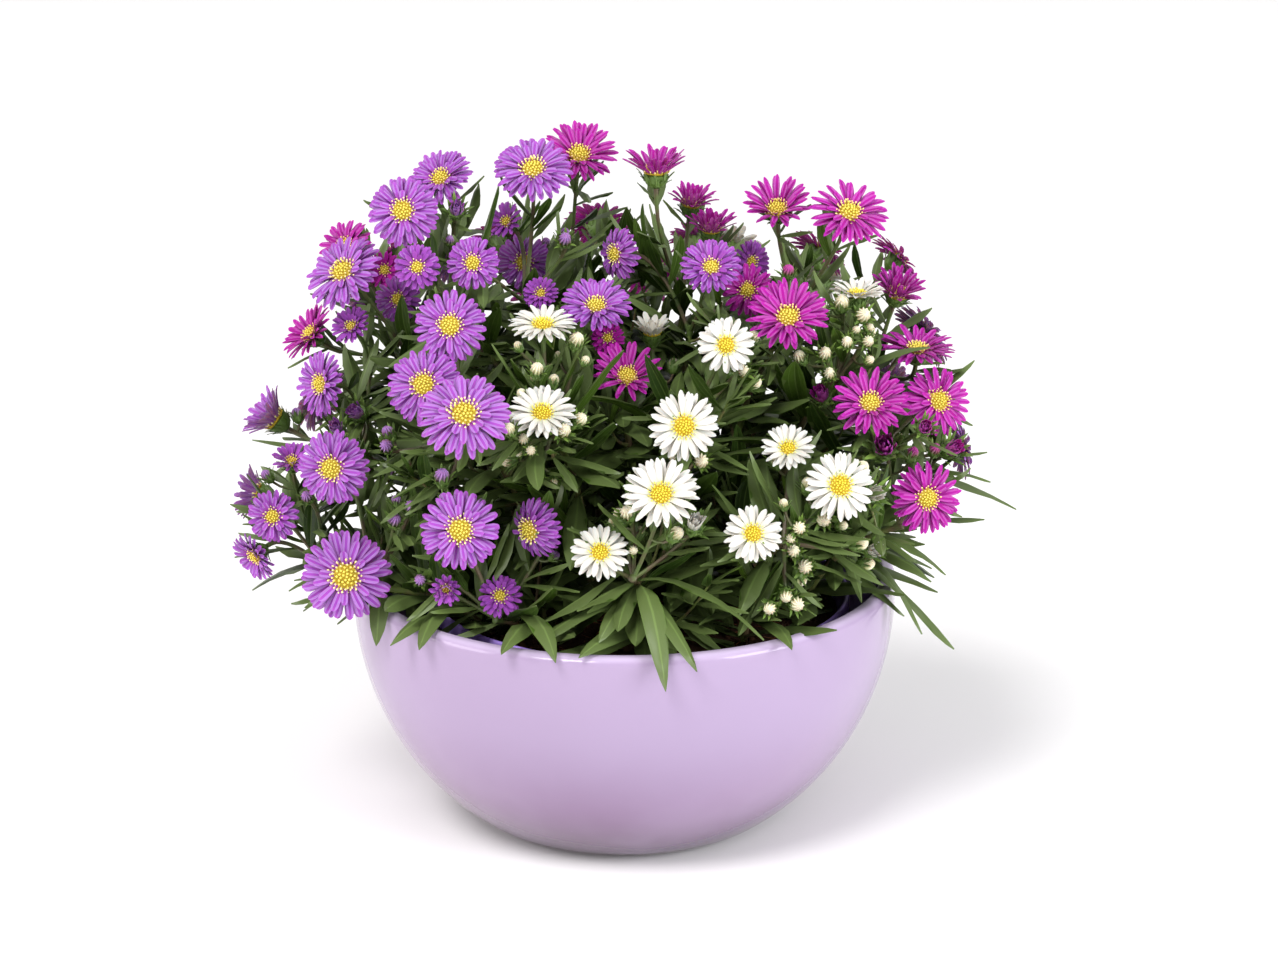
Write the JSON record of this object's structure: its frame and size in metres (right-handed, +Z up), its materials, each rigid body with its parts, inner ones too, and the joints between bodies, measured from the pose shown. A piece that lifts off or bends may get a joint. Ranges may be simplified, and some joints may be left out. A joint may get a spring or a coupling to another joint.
{
  "type": "potted aster",
  "caption": "Violet, magenta and white asters in bloom in a nursery pot, set in a round glazed ceramic bowl.",
  "frame": {"origin": "middle of the bowl's foot, on the surface it stands on", "axes": "+Z up along the bowl's axis, -Y to the front"},
  "size_m": [0.3418, 0.2652, 0.3052],
  "materials": {
    "glaze": "glossy pale lavender glaze",
    "pot_plastic": "thin violet moulded plastic, half gloss",
    "peat": "dark brown crumbly peat compost",
    "foliage": "dark green leaves and stems with a dull sheen",
    "petals_violet": "violet petals round a yellow disc",
    "petals_magenta": "magenta petals round a yellow disc",
    "petals_white": "white petals round a yellow disc"
  },
  "bodies": {
    "root": {"bowl": "glaze", "nursery_pot": "pot_plastic", "compost": "peat", "magenta_back_spray": "petals_magenta", "magenta_back_stem": "foliage", "magenta_centre_spray": "petals_magenta", "magenta_centre_stem": "foliage", "magenta_left_spray": "petals_magenta", "magenta_left_stem": "foliage", "magenta_mid_spray": "petals_magenta", "magenta_mid_stem": "foliage", "magenta_right_high_spray": "petals_magenta", "magenta_right_high_stem": "foliage", "magenta_right_low_spray": "petals_magenta", "magenta_right_low_stem": "foliage", "magenta_right_spray": "petals_magenta", "magenta_right_stem": "foliage", "magenta_shoulder_spray": "petals_magenta", "magenta_shoulder_stem": "foliage", "magenta_top_right_spray": "petals_magenta", "magenta_top_right_stem": "foliage", "magenta_top_spray": "petals_magenta", "magenta_top_stem": "foliage", "violet_back_left_spray": "petals_violet", "violet_back_left_stem": "foliage", "violet_back_right_spray": "petals_violet", "violet_back_right_stem": "foliage", "violet_centre_spray": "petals_violet", "violet_centre_stem": "foliage", "violet_crown_left_spray": "petals_violet", "violet_crown_left_stem": "foliage", "violet_crown_spray": "petals_violet", "violet_crown_stem": "foliage", "violet_front_left_spray": "petals_violet", "violet_front_left_stem": "foliage", "violet_left_front_spray": "petals_violet", "violet_left_front_stem": "foliage", "violet_left_spray": "petals_violet", "violet_left_stem": "foliage", "violet_low_left_spray": "petals_violet", "violet_low_left_stem": "foliage", "violet_low_spray": "petals_violet", "violet_low_stem": "foliage", "violet_right_centre_spray": "petals_violet", "violet_right_centre_stem": "foliage", "violet_shoulder_spray": "petals_violet", "violet_shoulder_stem": "foliage", "white_back_spray": "petals_white", "white_back_stem": "foliage", "white_centre_spray": "petals_white", "white_centre_stem": "foliage", "white_front_spray": "petals_white", "white_front_stem": "foliage", "white_high_spray": "petals_white", "white_high_stem": "foliage", "white_left_spray": "petals_white", "white_left_stem": "foliage", "white_right_spray": "petals_white", "white_right_stem": "foliage"}
  },
  "joints": []
}
